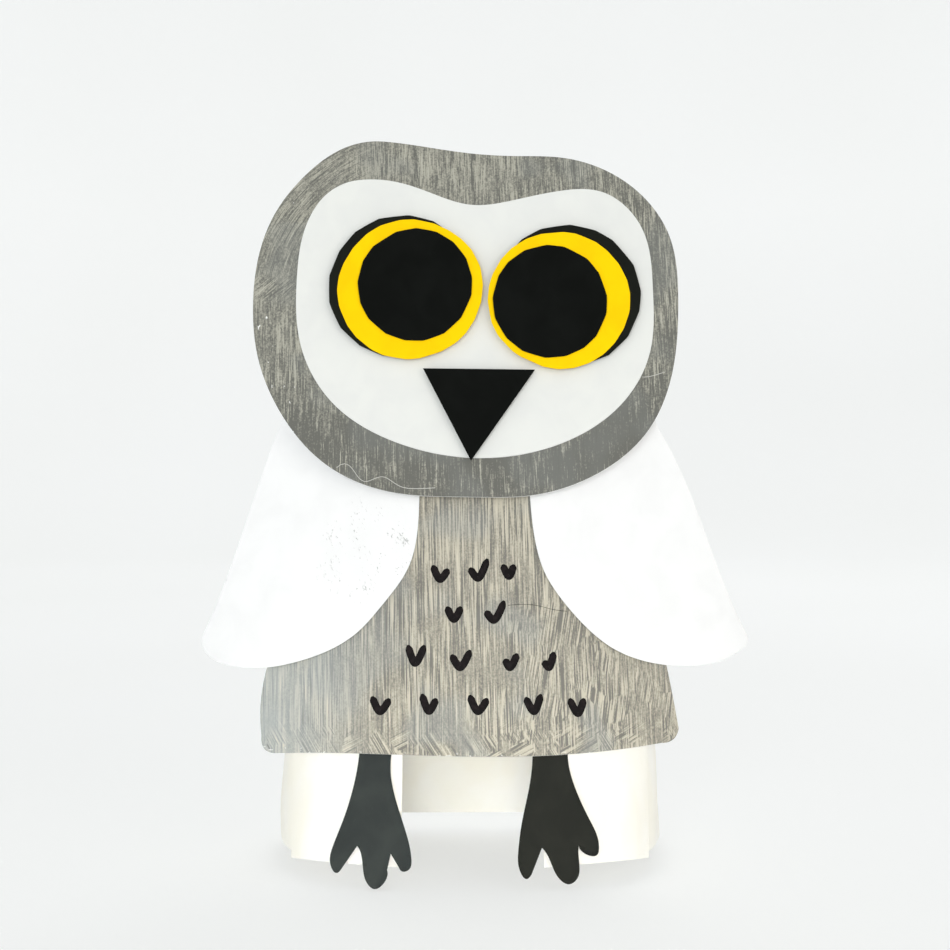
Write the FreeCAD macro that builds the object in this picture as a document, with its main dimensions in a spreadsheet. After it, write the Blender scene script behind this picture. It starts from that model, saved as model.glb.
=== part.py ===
import FreeCAD, Part
import math
import os
import Sketcher

# An owl hand puppet made from a flat-bottomed paper lunch bag.
# +Z runs from the open rim to the head, -Y is the owl's front and +X is its left-hand side as seen
# from the front.  The origin is the centre of the open rim, where the hand goes in.
#
# The bag stands open as a wedge.  Its back is upright and its front leans back to meet it at the top.
# Everything on the front is drawn in the front's own frame: X across, Y up the slope, Z out of it.

Vector = FreeCAD.Vector

SIZES = {
    # the bag
    "lean": 15.2,              # degrees that the front leans back
    "rim_front": -35.0,        # Y of the front at the rim
    "rim_back": 35.0,          # Y of the back
    "bag_half": 57.0,          # half the width of the front and back
    "front_length": 183.0,     # rim to the fold where the throat starts
    "flap_low": 145.0,         # lower edge of the flap that was the bag's bottom
    "flap_high": 220.6,        # the flap's fold, along the top of the bag
    "shoulder": 11.0,          # radius of the rounded top of the back
    "shoulder_height": 203.5,  # where the back starts to round over
    "fold_back": 19.4,         # Y of the back's top edge, just behind the flap's fold
    "notch_top": 45.0,         # height of the cut-out between the legs
    "gusset_low": 0.0,
    "gusset_middle": 110.0,
    "gusset_high": 206.0,
    "seam_start": 27.0,        # X of the glued lap that runs up the back, to one side
    "seam_width": 13.0,
    "seam_height": 200.0,
    # how the front is bent across its width: nearly flat at the top, rounder at the rim
    "stock_low": 12.0,         # how far below the rim the bent stock starts
    "stock_high": 200.0,
    "bend_low": 132.0,
    "bend_high": 2000.0,
    "stock_half": 98.0,
    "cut_above": 8.0,
    # thickness of each stock
    "paper": 0.3,
    "card": 0.5,
    "pad": 1.5,
    "ink": 0.1,
    # how far the back of each layer stands in front of the bag's front
    "foot_layer": 0.05,
    "body_layer": 0.6,
    "ink_layer": 1.1,
    "wing_layer": 1.25,
    "flap_layer": 4.2,
    "head_layer": 4.5,
    "face_layer": 5.0,
    "pad_layer": 5.5,
    "rim_layer": 7.0,
    "iris_layer": 7.5,
    "pupil_layer": 8.0,
    # the throat, folded between the bag's front and the flap
    "throat_gap": 0.35,
    "throat_half": 47.0,
    "web_edge": 56.6,
    # foam pads behind the eyes and the beak
    "eye_pad_radius": 14.0,
}

# Discs of each eye: across, up, radius
DISCS = {
    "left": {"rim": (-22.8, 188.0, 25.1), "iris": (-20.1, 186.6, 24.5), "pupil": (-18.5, 188.1, 19.3)},
    "right": {"rim": (32.6, 184.8, 24.8), "iris": (29.6, 182.7, 23.9), "pupil": (26.6, 182.0, 19.2)},
}

# Outlines are closed loops of runs.  A run of one point is a straight cut, a longer run is a curve.
HEAD = [[(-30, 243), (-44, 240.5), (-58, 229), (-67, 215.5), (-72, 199), (-73, 182), (-71, 165),
         (-62, 143.5), (-45, 125), (-25, 117), (0, 115.5), (20, 116), (39, 122), (58, 137.5),
         (67, 158), (70, 184), (67.5, 208.5), (53.5, 227.5), (33, 236.5), (14, 237.3), (-5, 239)]]

FACE = [[(-38, 228), (-49, 223), (-56, 211), (-58.5, 192), (-56, 166), (-44, 146), (-23.5, 133.5),
         (0, 128.5), (24.5, 131.5), (49, 146), (59.5, 164), (61.5, 188), (58, 211), (45, 223.5),
         (31, 223.8), (14, 220), (1, 218.4), (-16, 224)]]

BEAK = [[(-15.5, 158.5)], [(21.3, 158.0)], [(0.3, 127.0)]]

BEAK_PAD = [[(-7.0, 155.5)], [(12.5, 155.2)], [(1.5, 138.0)]]

BODY = [[(-35, 150)],
        [(-36, 118), (-43, 101), (-57, 82), (-65.9, 62), (-67, 41)],
        [(-66, 36.8), (-61.3, 35.2)],
        [(-26, 34.2), (6, 33.3), (42.4, 35.4), (60.8, 38.3)],
        [(65.5, 40), (67, 43)],
        [(63.7, 62), (58, 82), (48, 100), (43.5, 118), (42, 150)]]

LEFT_WING = [[(-60, 151)],
             [(-64.2, 140.5), (-75.4, 106.8), (-88.3, 74)],
             [(-88.4, 70.3), (-86.1, 67.2), (-79.7, 63.8), (-70, 62.2), (-60, 62.8), (-51.8, 64.6),
              (-42.7, 68), (-35, 73.2), (-29, 79.8), (-24, 86.1), (-19.6, 93.5), (-17.3, 102.5),
              (-16.5, 117), (-17.5, 133), (-27, 148)]]

RIGHT_WING = [[(60, 151)],
              [(30, 148), (20.5, 133), (19.5, 117), (21.2, 101), (24, 91.5), (29.1, 83.2), (35.8, 75.4),
               (43.7, 68.8), (51.8, 65), (60, 63.2), (70, 62.8), (78.5, 64), (86, 66.9), (91.6, 70.9)],
              [(92.4, 73.5)],
              [(83.6, 91.8), (76.8, 110.6), (70.5, 126.5), (62.3, 142.1)]]

LEFT_FOOT = [[(-34.8, 62)],
             [(-34.7, 34)],
             [(-36.4, 24), (-39.5, 14), (-42.6, 6), (-43.1, 1.5), (-41.3, -1.3), (-39.4, 0)],
             [(-34.7, 6.7)],
             [(-32.7, 0), (-31.4, -4.2), (-29, -6), (-26.6, -4.8), (-25.2, -0.5)],
             [(-24.2, 4.4)],
             [(-21.6, 0.4)],
             [(-20.2, -0.9), (-18.4, -0.2), (-17.8, 3), (-19.2, 9.5), (-22.4, 18.9), (-24.5, 34)],
             [(-24.5, 62)]]

RIGHT_FOOT = [[(19.7, 62)],
              [(19.5, 34)],
              [(17.9, 22), (15.7, 12), (14.8, 5), (15.2, -0.5), (17, -3), (18.8, -1.7)],
              [(22.1, 6.1)],
              [(24.8, 1.7), (27.2, -2.9), (30.3, -4.6), (33, -2.7), (33.6, 1), (33.6, 7)],
              [(36.8, 3.8), (39.1, 3.9), (39.9, 6.6), (37.4, 14), (32.4, 25), (30.6, 35)],
              [(30.6, 62)]]

# Inked feather marks: across, height of the point, half width, height of the arms
MARKS = [(-9.5, 88.9, 2.4, 3.8), (2.6, 89.2, 2.8, 4.6), (12.4, 89.9, 1.8, 3.6),
         (-5.1, 76.0, 2.2, 3.8), (7.8, 75.7, 2.8, 4.3),
         (-17.2, 62.1, 2.6, 5.3), (-3.0, 60.7, 2.8, 4.4), (12.8, 60.8, 1.9, 3.3), (25.0, 60.9, 1.6, 3.2),
         (-28.1, 47.2, 2.7, 4.0), (-12.8, 47.1, 2.2, 4.3), (2.6, 47.0, 2.7, 4.2), (20.0, 47.1, 2.4, 4.5),
         (33.9, 46.7, 2.2, 4.3)]
MARK_STROKE = 0.95

doc = FreeCAD.newDocument("PaperBagOwlPuppet")
sizes = doc.addObject("Spreadsheet::Sheet", "sizes")
for row, (alias, value) in enumerate(SIZES.items(), start=1):
    sizes.set(f"A{row}", alias)
    sizes.set(f"B{row}", str(value))
    sizes.setAlias(f"B{row}", alias)
doc.recompute()

nodes = []


def new_body(label, on_front=True):
    """A body in the bag's frame, or in the leaning frame of its front."""
    body = doc.addObject("PartDesign::Body", label)
    body.Label = label
    if on_front:
        body.Placement = FreeCAD.Placement(Vector(), FreeCAD.Rotation(Vector(1, 0, 0), 90))
        body.setExpression(".Placement.Rotation.Angle", "90 - sizes.lean")
        body.setExpression(".Placement.Base.y", "sizes.rim_front")
    nodes.append(body)
    return body


def new_sketch(body, name, plane, offset=None):
    """A sketch on one of the body's own origin planes, moved along its normal by a sheet expression."""
    sketch = body.newObject("Sketcher::SketchObject", name)
    role = next(item for item in body.Origin.OriginFeatures if item.Role == plane)
    sketch.AttachmentSupport = [(role, "")]
    sketch.MapMode = "FlatFace"
    if offset:
        sketch.setExpression(".AttachmentOffset.Base.z", offset)
    return sketch


def draw_outline(sketch, runs):
    """Draws a closed loop: straight cuts to single points, curves through longer runs."""
    if len(runs) == 1:
        curve = Part.BSplineCurve()
        curve.interpolate([Vector(x, y, 0) for x, y in runs[0]], PeriodicFlag=True)
        sketch.addGeometry(curve, False)
        return
    here = Vector(*runs[-1][-1], 0)
    for run in runs:
        points = [here] + [Vector(x, y, 0) for x, y in run]
        if len(points) == 2:
            sketch.addGeometry(Part.LineSegment(*points), False)
        else:
            curve = Part.BSplineCurve()
            curve.interpolate(points)
            sketch.addGeometry(curve, False)
        here = points[-1]


def draw_polygon(sketch, points):
    """Draws a closed loop of straight lines with joined corners."""
    count = len(points)
    first = sketch.GeometryCount
    for index, point in enumerate(points):
        end = points[(index + 1) % count]
        sketch.addGeometry(Part.LineSegment(Vector(*point, 0), Vector(*end, 0)), False)
    for index in range(count):
        following = first + (index + 1) % count
        sketch.addConstraint(Sketcher.Constraint("Coincident", first + index, 2, following, 1))


def pad(body, sketch, length, both_sides=False):
    """Thickens a sketch by a sheet expression."""
    feature = body.newObject("PartDesign::Pad", "thickness")
    feature.Profile = sketch
    if both_sides:
        feature.SideType = "Symmetric"
    feature.setExpression("Length", length)
    sketch.Visibility = False
    return feature


def flat_card(label, runs, layer, thickness="sizes.card"):
    """A flat piece cut along an outline, lying on one layer of the front."""
    body = new_body(label)
    sketch = new_sketch(body, "outline", "XY_Plane", layer)
    draw_outline(sketch, runs)
    pad(body, sketch, thickness)
    return body


def disc(label, place, layer, radius=None, thickness="sizes.card"):
    """A round piece whose centre and radius are fixed by constraints."""
    across, up, drawn_radius = place
    body = new_body(label)
    sketch = new_sketch(body, "circle", "XY_Plane", layer)
    sketch.addGeometry(Part.Circle(Vector(across, up, 0), Vector(0, 0, 1), drawn_radius), False)
    if across < 0:
        sketch.addConstraint(Sketcher.Constraint("DistanceX", 0, 3, -1, 1, -across))
    else:
        sketch.addConstraint(Sketcher.Constraint("DistanceX", -1, 1, 0, 3, across))
    sketch.addConstraint(Sketcher.Constraint("DistanceY", -1, 1, 0, 3, up))
    sketch.addConstraint(Sketcher.Constraint("Radius", 0, drawn_radius))
    if radius:
        sketch.setExpression("Constraints[2]", radius)
    pad(body, sketch, thickness)
    return body


def amount(body, expression):
    """The number that a sheet expression stands for."""
    return float(body.evalExpression(expression))


def arc_band(body, name, offset, bend, layer, thickness):
    """Cross-section of the bent stock at one height: a band between two equal arcs."""
    radius = amount(body, bend)
    half = amount(body, "sizes.stock_half")
    low = amount(body, layer)
    high = low + amount(body, thickness)
    angle = math.acos(half / radius)
    droop = radius - radius * math.sin(angle)
    sketch = new_sketch(body, name, "XZ_Plane", offset)
    for top in (high, low):
        circle = Part.Circle(Vector(0, top - radius, 0), Vector(0, 0, 1), radius)
        sketch.addGeometry(Part.ArcOfCircle(circle, angle, math.pi - angle), False)
    for side in (-half, half):
        ends = Vector(side, high - droop, 0), Vector(side, low - droop, 0)
        sketch.addGeometry(Part.LineSegment(*ends), False)

    upper, lower, left, right, centre = 0, 1, 2, 3, 3
    rules = [
        ("Radius", upper, radius, bend),
        ("Radius", lower, radius, bend),
        ("DistanceY", upper, centre, -1, 1, radius - high, f"{bend} - ({layer}) - {thickness}"),
        ("DistanceY", lower, centre, -1, 1, radius - low, f"{bend} - ({layer})"),
        ("DistanceX", upper, 2, -1, 1, half, "sizes.stock_half"),
        ("DistanceX", -1, 1, upper, 1, half, "sizes.stock_half"),
    ]
    for *rule, expression in rules:
        index = sketch.addConstraint(Sketcher.Constraint(*rule))
        sketch.setExpression(f"Constraints[{index}]", expression)
    for arc in (upper, lower):
        sketch.addConstraint(Sketcher.Constraint("PointOnObject", arc, centre, -2))
    for line, end in ((left, 2), (right, 1)):
        sketch.addConstraint(Sketcher.Constraint("Coincident", line, 1, upper, end))
        sketch.addConstraint(Sketcher.Constraint("Coincident", line, 2, lower, end))
        sketch.addConstraint(Sketcher.Constraint("Vertical", line))
    return sketch


def loft(body, sections, name):
    """A ruled solid through a list of sections."""
    feature = body.newObject("PartDesign::AdditiveLoft", name)
    feature.Profile = sections[0]
    feature.Sections = sections[1:]
    feature.Ruled = True
    return feature


def bent_card(label, outlines, layer, thickness):
    """A piece cut from stock that is bent like the bag's front: a lofted sheet, then a scissor cut."""
    body = new_body(label)
    low = arc_band(body, "stock_at_rim", "sizes.stock_low", "sizes.bend_low", layer, thickness)
    high = arc_band(body, "stock_at_top", "-sizes.stock_high", "sizes.bend_high", layer, thickness)
    loft(body, [low, high], "bent_stock")
    doc.recompute()
    whole = body.Shape.Volume
    waste = new_sketch(body, "waste", "XY_Plane", "sizes.cut_above")
    reach = amount(body, "sizes.stock_half") + 10
    draw_polygon(waste, [(-reach, -30), (reach, -30), (reach, 260), (-reach, 260)])
    for runs in outlines:
        draw_outline(waste, runs)
    cut = body.newObject("PartDesign::Pocket", "scissor_cut")
    cut.Profile = waste
    cut.Type = "ThroughAll"
    doc.recompute()
    if not 0 < body.Shape.Volume < 0.9 * whole:
        raise RuntimeError(f"the cut of {label} missed its stock")
    return body


def mark_outline(across, up, half, height):
    """A pointed V of one stroke's width."""
    w = MARK_STROKE
    corners = [(-half - w, height), (-half + w, height), (0, 1.7 * w), (half - w, height),
               (half + w, height), (0.6 * w, -w), (-0.6 * w, -w)]
    return [[(across + x, up + y)] for x, y in corners]


def front_panel_outline():
    """The bag's front: straight sides and top, a level rim, and the cut-out between the legs."""
    half, top, notch = SIZES["bag_half"], SIZES["front_length"], SIZES["notch_top"]
    corner_up, middle_up = 3.1, 0.3
    left, right = -21.0, 22.7
    return [[(-half, top)], [(-half, corner_up)], [(-42, 1.8), (left, middle_up)], [(left, notch)],
            [(right, notch)], [(right, middle_up)], [(42, 1.8), (half, corner_up)], [(half, top)]]


# ---- the bag's back ----------------------------------------------------------------------------

def sheet_box(label, width, height, left, front):
    """An upright rectangle of paper, from the rim upwards."""
    sheet = doc.addObject("Part::Box", label)
    sheet.Label = label
    sheet.setExpression("Length", width)
    sheet.setExpression("Width", "sizes.paper")
    sheet.setExpression("Height", height)
    sheet.setExpression(".Placement.Base.x", left)
    sheet.setExpression(".Placement.Base.y", front)
    nodes.append(sheet)


def top_fold():
    """The puffed top of the bag, rounded over from the back and carried forward to the flap's fold."""
    body = new_body("top_fold", on_front=False)
    side = new_sketch(body, "side_view", "YZ_Plane")
    back, radius, bend = SIZES["rim_back"], SIZES["shoulder"], SIZES["shoulder_height"]
    fold, paper = SIZES["fold_back"], SIZES["paper"]
    middle, top = back - radius, bend + radius
    for size in (radius, radius - paper):
        circle = Part.Circle(Vector(middle, bend, 0), Vector(0, 0, 1), size)
        side.addGeometry(Part.ArcOfCircle(circle, 0, math.pi / 2), False)
    for start, end in (((middle, top), (fold, top)), ((middle, top - paper), (fold, top - paper)),
                       ((back, bend), (back - paper, bend)), ((fold, top), (fold, top - paper))):
        side.addGeometry(Part.LineSegment(Vector(*start, 0), Vector(*end, 0)), False)
    outer_arc, inner_arc, upper, under, joined, edge = range(6)
    for first, first_end, second, second_end in (
            (outer_arc, 2, upper, 1), (inner_arc, 2, under, 1), (joined, 1, outer_arc, 1),
            (joined, 2, inner_arc, 1), (edge, 1, upper, 2), (edge, 2, under, 2),
            (outer_arc, 3, inner_arc, 3)):
        side.addConstraint(Sketcher.Constraint("Coincident", first, first_end, second, second_end))
    for direction, lines in (("Vertical", (edge,)), ("Horizontal", (upper, under, joined))):
        for line in lines:
            side.addConstraint(Sketcher.Constraint(direction, line))
    for rule, expression in ((("Radius", outer_arc, radius), "sizes.shoulder"),
                             (("Radius", inner_arc, radius - paper), "sizes.shoulder - sizes.paper"),
                             (("DistanceX", -1, 1, joined, 1, back), "sizes.rim_back"),
                             (("DistanceY", -1, 1, joined, 1, bend), "sizes.shoulder_height"),
                             (("DistanceX", -1, 1, edge, 1, fold), "sizes.fold_back")):
        index = side.addConstraint(Sketcher.Constraint(*rule))
        side.setExpression(f"Constraints[{index}]", expression)
    pad(body, side, "2 * sizes.bag_half", both_sides=True)


def band(points, thickness):
    """A closed band of one thickness along an open zigzag, thickened on its right-hand side."""
    vectors = [Vector(x, y, 0) for x, y in points]
    steps = [(b - a).normalize() for a, b in zip(vectors, vectors[1:])]
    right = [Vector(step.y, -step.x, 0) for step in steps]
    far_side = []
    for point, before, after in zip(vectors, right[:1] + right, right + right[-1:]):
        mitre = (before + after).normalize()
        far_side.append(point + mitre * (thickness / mitre.dot(after)))
    return points + [(point.x, point.y) for point in reversed(far_side)]


def gusset(label, side):
    """A folding side of the bag: bulged out at the rim, folded inwards towards the top."""
    body = new_body(label, on_front=False)
    front = lambda height: SIZES["rim_front"] + 13.7 + 0.211 * height
    back = SIZES["rim_back"] - 0.6
    edge = SIZES["bag_half"] - 0.1
    creases = {"gusset_low": (60.6, 61.8, 60.4), "gusset_middle": (47.0, 38.0, 47.0),
               "gusset_high": (42.5, 28.5, 42.5)}
    sections = []
    for alias, (near, crease, far) in creases.items():
        start = front(SIZES[alias])
        depth = back - start
        zigzag = [(edge, start), (near, start + 0.2 * depth), (crease, start + 0.47 * depth),
                  (far, start + 0.75 * depth), (edge, back)]
        sketch = new_sketch(body, alias, "XY_Plane", f"sizes.{alias}")
        draw_polygon(sketch, [(side * x, y) for x, y in band(zigzag, SIZES["paper"])])
        sections.append(sketch)
    loft(body, sections, "folds")


# ---- the bag's front and the throat ------------------------------------------------------------

def throat_strip():
    """The short fold-back strip between the front's top edge and the flap's lower edge."""
    body = new_body("throat_strip")
    side = new_sketch(body, "side_view", "YZ_Plane")
    start, end = SIZES["front_length"] - 1, SIZES["flap_low"] + 0.3
    low, high = SIZES["throat_gap"], SIZES["flap_layer"] - 0.4
    thick = SIZES["paper"]
    draw_polygon(side, [(start, low), (start, low + thick), (end, high), (end, high - thick)])
    pad(body, side, "2 * sizes.throat_half", both_sides=True)


def throat_web(label, side):
    """The small side fold of the throat, from the flap's lower edge up to the top of the bag."""
    body = new_body(label)
    edge, low, high = SIZES["web_edge"], SIZES["throat_gap"], SIZES["flap_layer"] - 0.15
    middle = (low + high) / 2
    sections = []
    for up, depth in ((SIZES["flap_low"] + 2, 4.0), (SIZES["front_length"], 8.0), (212.0, 24.0)):
        zigzag = [(edge, low), (edge - depth, middle), (edge, high)]
        sketch = new_sketch(body, f"fold_at_{up:.0f}", "XZ_Plane", f"-{up}")
        draw_polygon(sketch, [(side * x, y) for x, y in band(zigzag, SIZES["paper"])])
        sections.append(sketch)
    loft(body, sections, "folds")


def flap():
    """The bag's flat bottom, folded down over the front to make the upper jaw."""
    half, low, high = SIZES["bag_half"], SIZES["flap_low"], SIZES["flap_high"]
    corners = [[(-half, low)], [(half, low)], [(half, high)], [(-half, high)]]
    flat_card("base_flap", corners, "sizes.flap_layer", "sizes.paper")


sheet_box("back_panel", "2 * sizes.bag_half", "sizes.shoulder_height", "-sizes.bag_half",
          "sizes.rim_back - sizes.paper")
sheet_box("seam_lap", "sizes.seam_width", "sizes.seam_height", "sizes.seam_start",
          "sizes.rim_back - 2 * sizes.paper")
top_fold()
gusset("gusset_left", -1)
gusset("gusset_right", 1)
bent_card("front_panel", [front_panel_outline()], "-sizes.paper", "sizes.paper")
throat_strip()
throat_web("throat_web_left", -1)
throat_web("throat_web_right", 1)

# ---- cards glued to the front --------------------------------------------------------------------

bent_card("foot_left", [LEFT_FOOT], "sizes.foot_layer", "sizes.card")
bent_card("foot_right", [RIGHT_FOOT], "sizes.foot_layer", "sizes.card")
bent_card("body_card", [BODY], "sizes.body_layer", "sizes.card")
bent_card("feather_marks", [mark_outline(*mark) for mark in MARKS], "sizes.ink_layer", "sizes.ink")
bent_card("wing_left", [LEFT_WING], "sizes.wing_layer", "sizes.card")
bent_card("wing_right", [RIGHT_WING], "sizes.wing_layer", "sizes.card")

# ---- the head, glued to the flap ------------------------------------------------------------------

flap()
flat_card("head_card", HEAD, "sizes.head_layer")
flat_card("face_card", FACE, "sizes.face_layer")
for side, discs in DISCS.items():
    disc(f"eye_pad_{side}", discs["iris"], "sizes.pad_layer", "sizes.eye_pad_radius", "sizes.pad")
    disc(f"eye_rim_{side}", discs["rim"], "sizes.rim_layer")
    disc(f"iris_{side}", discs["iris"], "sizes.iris_layer")
    disc(f"pupil_{side}", discs["pupil"], "sizes.pupil_layer")
flat_card("beak_pad", BEAK_PAD, "sizes.pad_layer", "sizes.pad")
flat_card("beak", BEAK, "sizes.rim_layer")

# ---- check and write -------------------------------------------------------------------------------

doc.recompute()
for item in doc.Objects:
    if {"Invalid", "Error"} & set(item.State):
        raise RuntimeError(f"{item.Label} failed: {item.State}")
os.makedirs("parts", exist_ok=True)
for node in nodes:
    shape = node.Shape
    if shape.isNull() or not shape.isValid() or not shape.Solids:
        raise RuntimeError(f"{node.Label} has no valid solid")
    shape.exportStep(f"parts/{node.Label}.step")
    box = shape.BoundBox
    print(f"{node.Label:18s} {shape.Volume:9.1f} mm3  x {box.XMin:6.1f} {box.XMax:6.1f}"
          f"  y {box.YMin:6.1f} {box.YMax:6.1f}  z {box.ZMin:6.1f} {box.ZMax:6.1f}")
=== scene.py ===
"""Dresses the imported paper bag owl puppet: bent and hand-cut card, brushed paint, creased bag paper.

The puppet stands on its open rim.  X runs across it, -Y is its front and Z is up.  All sizes are
metres.
"""

from __future__ import annotations

import logging
import math
from contextlib import contextmanager
from dataclasses import dataclass, field
from enum import Enum
from typing import Callable, Iterator, Sequence, Union

import bpy
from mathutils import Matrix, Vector, noise
from mathutils.bvhtree import BVHTree


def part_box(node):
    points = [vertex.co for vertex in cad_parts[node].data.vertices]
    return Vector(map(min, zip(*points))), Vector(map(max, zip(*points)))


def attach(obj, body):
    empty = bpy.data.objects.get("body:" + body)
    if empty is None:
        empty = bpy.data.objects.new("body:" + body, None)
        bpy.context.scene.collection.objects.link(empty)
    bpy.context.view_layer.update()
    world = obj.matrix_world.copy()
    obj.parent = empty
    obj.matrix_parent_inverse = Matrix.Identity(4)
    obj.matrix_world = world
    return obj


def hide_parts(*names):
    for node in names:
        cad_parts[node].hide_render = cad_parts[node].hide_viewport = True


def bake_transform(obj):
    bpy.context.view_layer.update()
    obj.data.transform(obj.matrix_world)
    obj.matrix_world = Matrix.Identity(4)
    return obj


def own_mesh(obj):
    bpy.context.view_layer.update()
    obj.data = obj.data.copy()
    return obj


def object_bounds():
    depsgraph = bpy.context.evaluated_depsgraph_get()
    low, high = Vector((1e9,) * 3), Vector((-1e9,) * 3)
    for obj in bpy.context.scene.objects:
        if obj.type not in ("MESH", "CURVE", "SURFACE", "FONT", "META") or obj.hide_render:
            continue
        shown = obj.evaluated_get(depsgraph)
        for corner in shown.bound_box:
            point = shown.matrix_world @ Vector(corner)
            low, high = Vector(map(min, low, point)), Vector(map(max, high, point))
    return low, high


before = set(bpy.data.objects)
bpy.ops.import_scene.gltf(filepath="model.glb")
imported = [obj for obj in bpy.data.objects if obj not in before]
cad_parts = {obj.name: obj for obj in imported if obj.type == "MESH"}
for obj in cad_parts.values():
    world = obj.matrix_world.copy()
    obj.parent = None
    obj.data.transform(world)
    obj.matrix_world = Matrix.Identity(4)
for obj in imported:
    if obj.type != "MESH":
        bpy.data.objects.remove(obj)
CAD_BOX = [list(corner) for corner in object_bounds()]

LOG = logging.getLogger("paper_bag_owl")
MM = 0.001
LEAN = math.radians(15.2)
ACROSS = Vector((1, 0, 0))
UP_SLOPE = Vector((0, math.sin(LEAN), math.cos(LEAN)))
OUT = Vector((0, -math.cos(LEAN), math.sin(LEAN)))
BACKWARD = Vector((0, 1, 0))
UPWARD = Vector((0, 0, 1))
RIM_FRONT = Vector((0, -0.035, 0))

Colour = tuple[float, float, float]
Point = tuple[float, float, float]
Span = tuple[float, float]
Mover = Callable[[Vector], Vector]


class Body(Enum):
    """The moving bodies that pieces ride on."""

    BACK = "back"
    FRONT = "front"
    HEAD = "head"


class Slot(Enum):
    """The record's material slots."""

    PAPER = "bag_paper"
    HEAD_PAINT = "painted_head_card"
    BODY_PAINT = "painted_body_card"
    WHITE = "white_card"
    BLACK = "black_card"
    YELLOW = "yellow_card"
    FOAM = "foam_pad"
    INK = "ink"


# ---------------------------------------------------------------------------------------------------
# Shader maths
# ---------------------------------------------------------------------------------------------------


class Wire:
    """An output socket that takes part in Python arithmetic by adding Math nodes."""

    def __init__(self, shader: "Shader", socket: bpy.types.NodeSocket) -> None:
        """Wraps one output socket of a shader."""
        self.shader = shader
        self.socket = socket

    def _math(self, operation: str, other: "Value", swapped: bool = False) -> "Wire":
        """Adds one Math node.

        Args:
            operation: the Math node's operation.
            other: the other operand.
            swapped: whether the other operand comes first.

        Returns:
            The node's result.
        """
        pair = [other, self] if swapped else [self, other]
        return self.shader.add("ShaderNodeMath", {"operation": operation}, dict(enumerate(pair)))

    def __add__(self, other: "Value") -> "Wire":
        """Sum."""
        return self._math("ADD", other)

    __radd__ = __add__

    def __sub__(self, other: "Value") -> "Wire":
        """Difference."""
        return self._math("SUBTRACT", other)

    def __rsub__(self, other: "Value") -> "Wire":
        """Reflected difference."""
        return self._math("SUBTRACT", other, swapped=True)

    def __mul__(self, other: "Value") -> "Wire":
        """Product."""
        return self._math("MULTIPLY", other)

    __rmul__ = __mul__

    def __truediv__(self, other: "Value") -> "Wire":
        """Quotient."""
        return self._math("DIVIDE", other)

    def __pow__(self, other: "Value") -> "Wire":
        """Power."""
        return self._math("POWER", other)


Value = Union[Wire, float]


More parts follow.
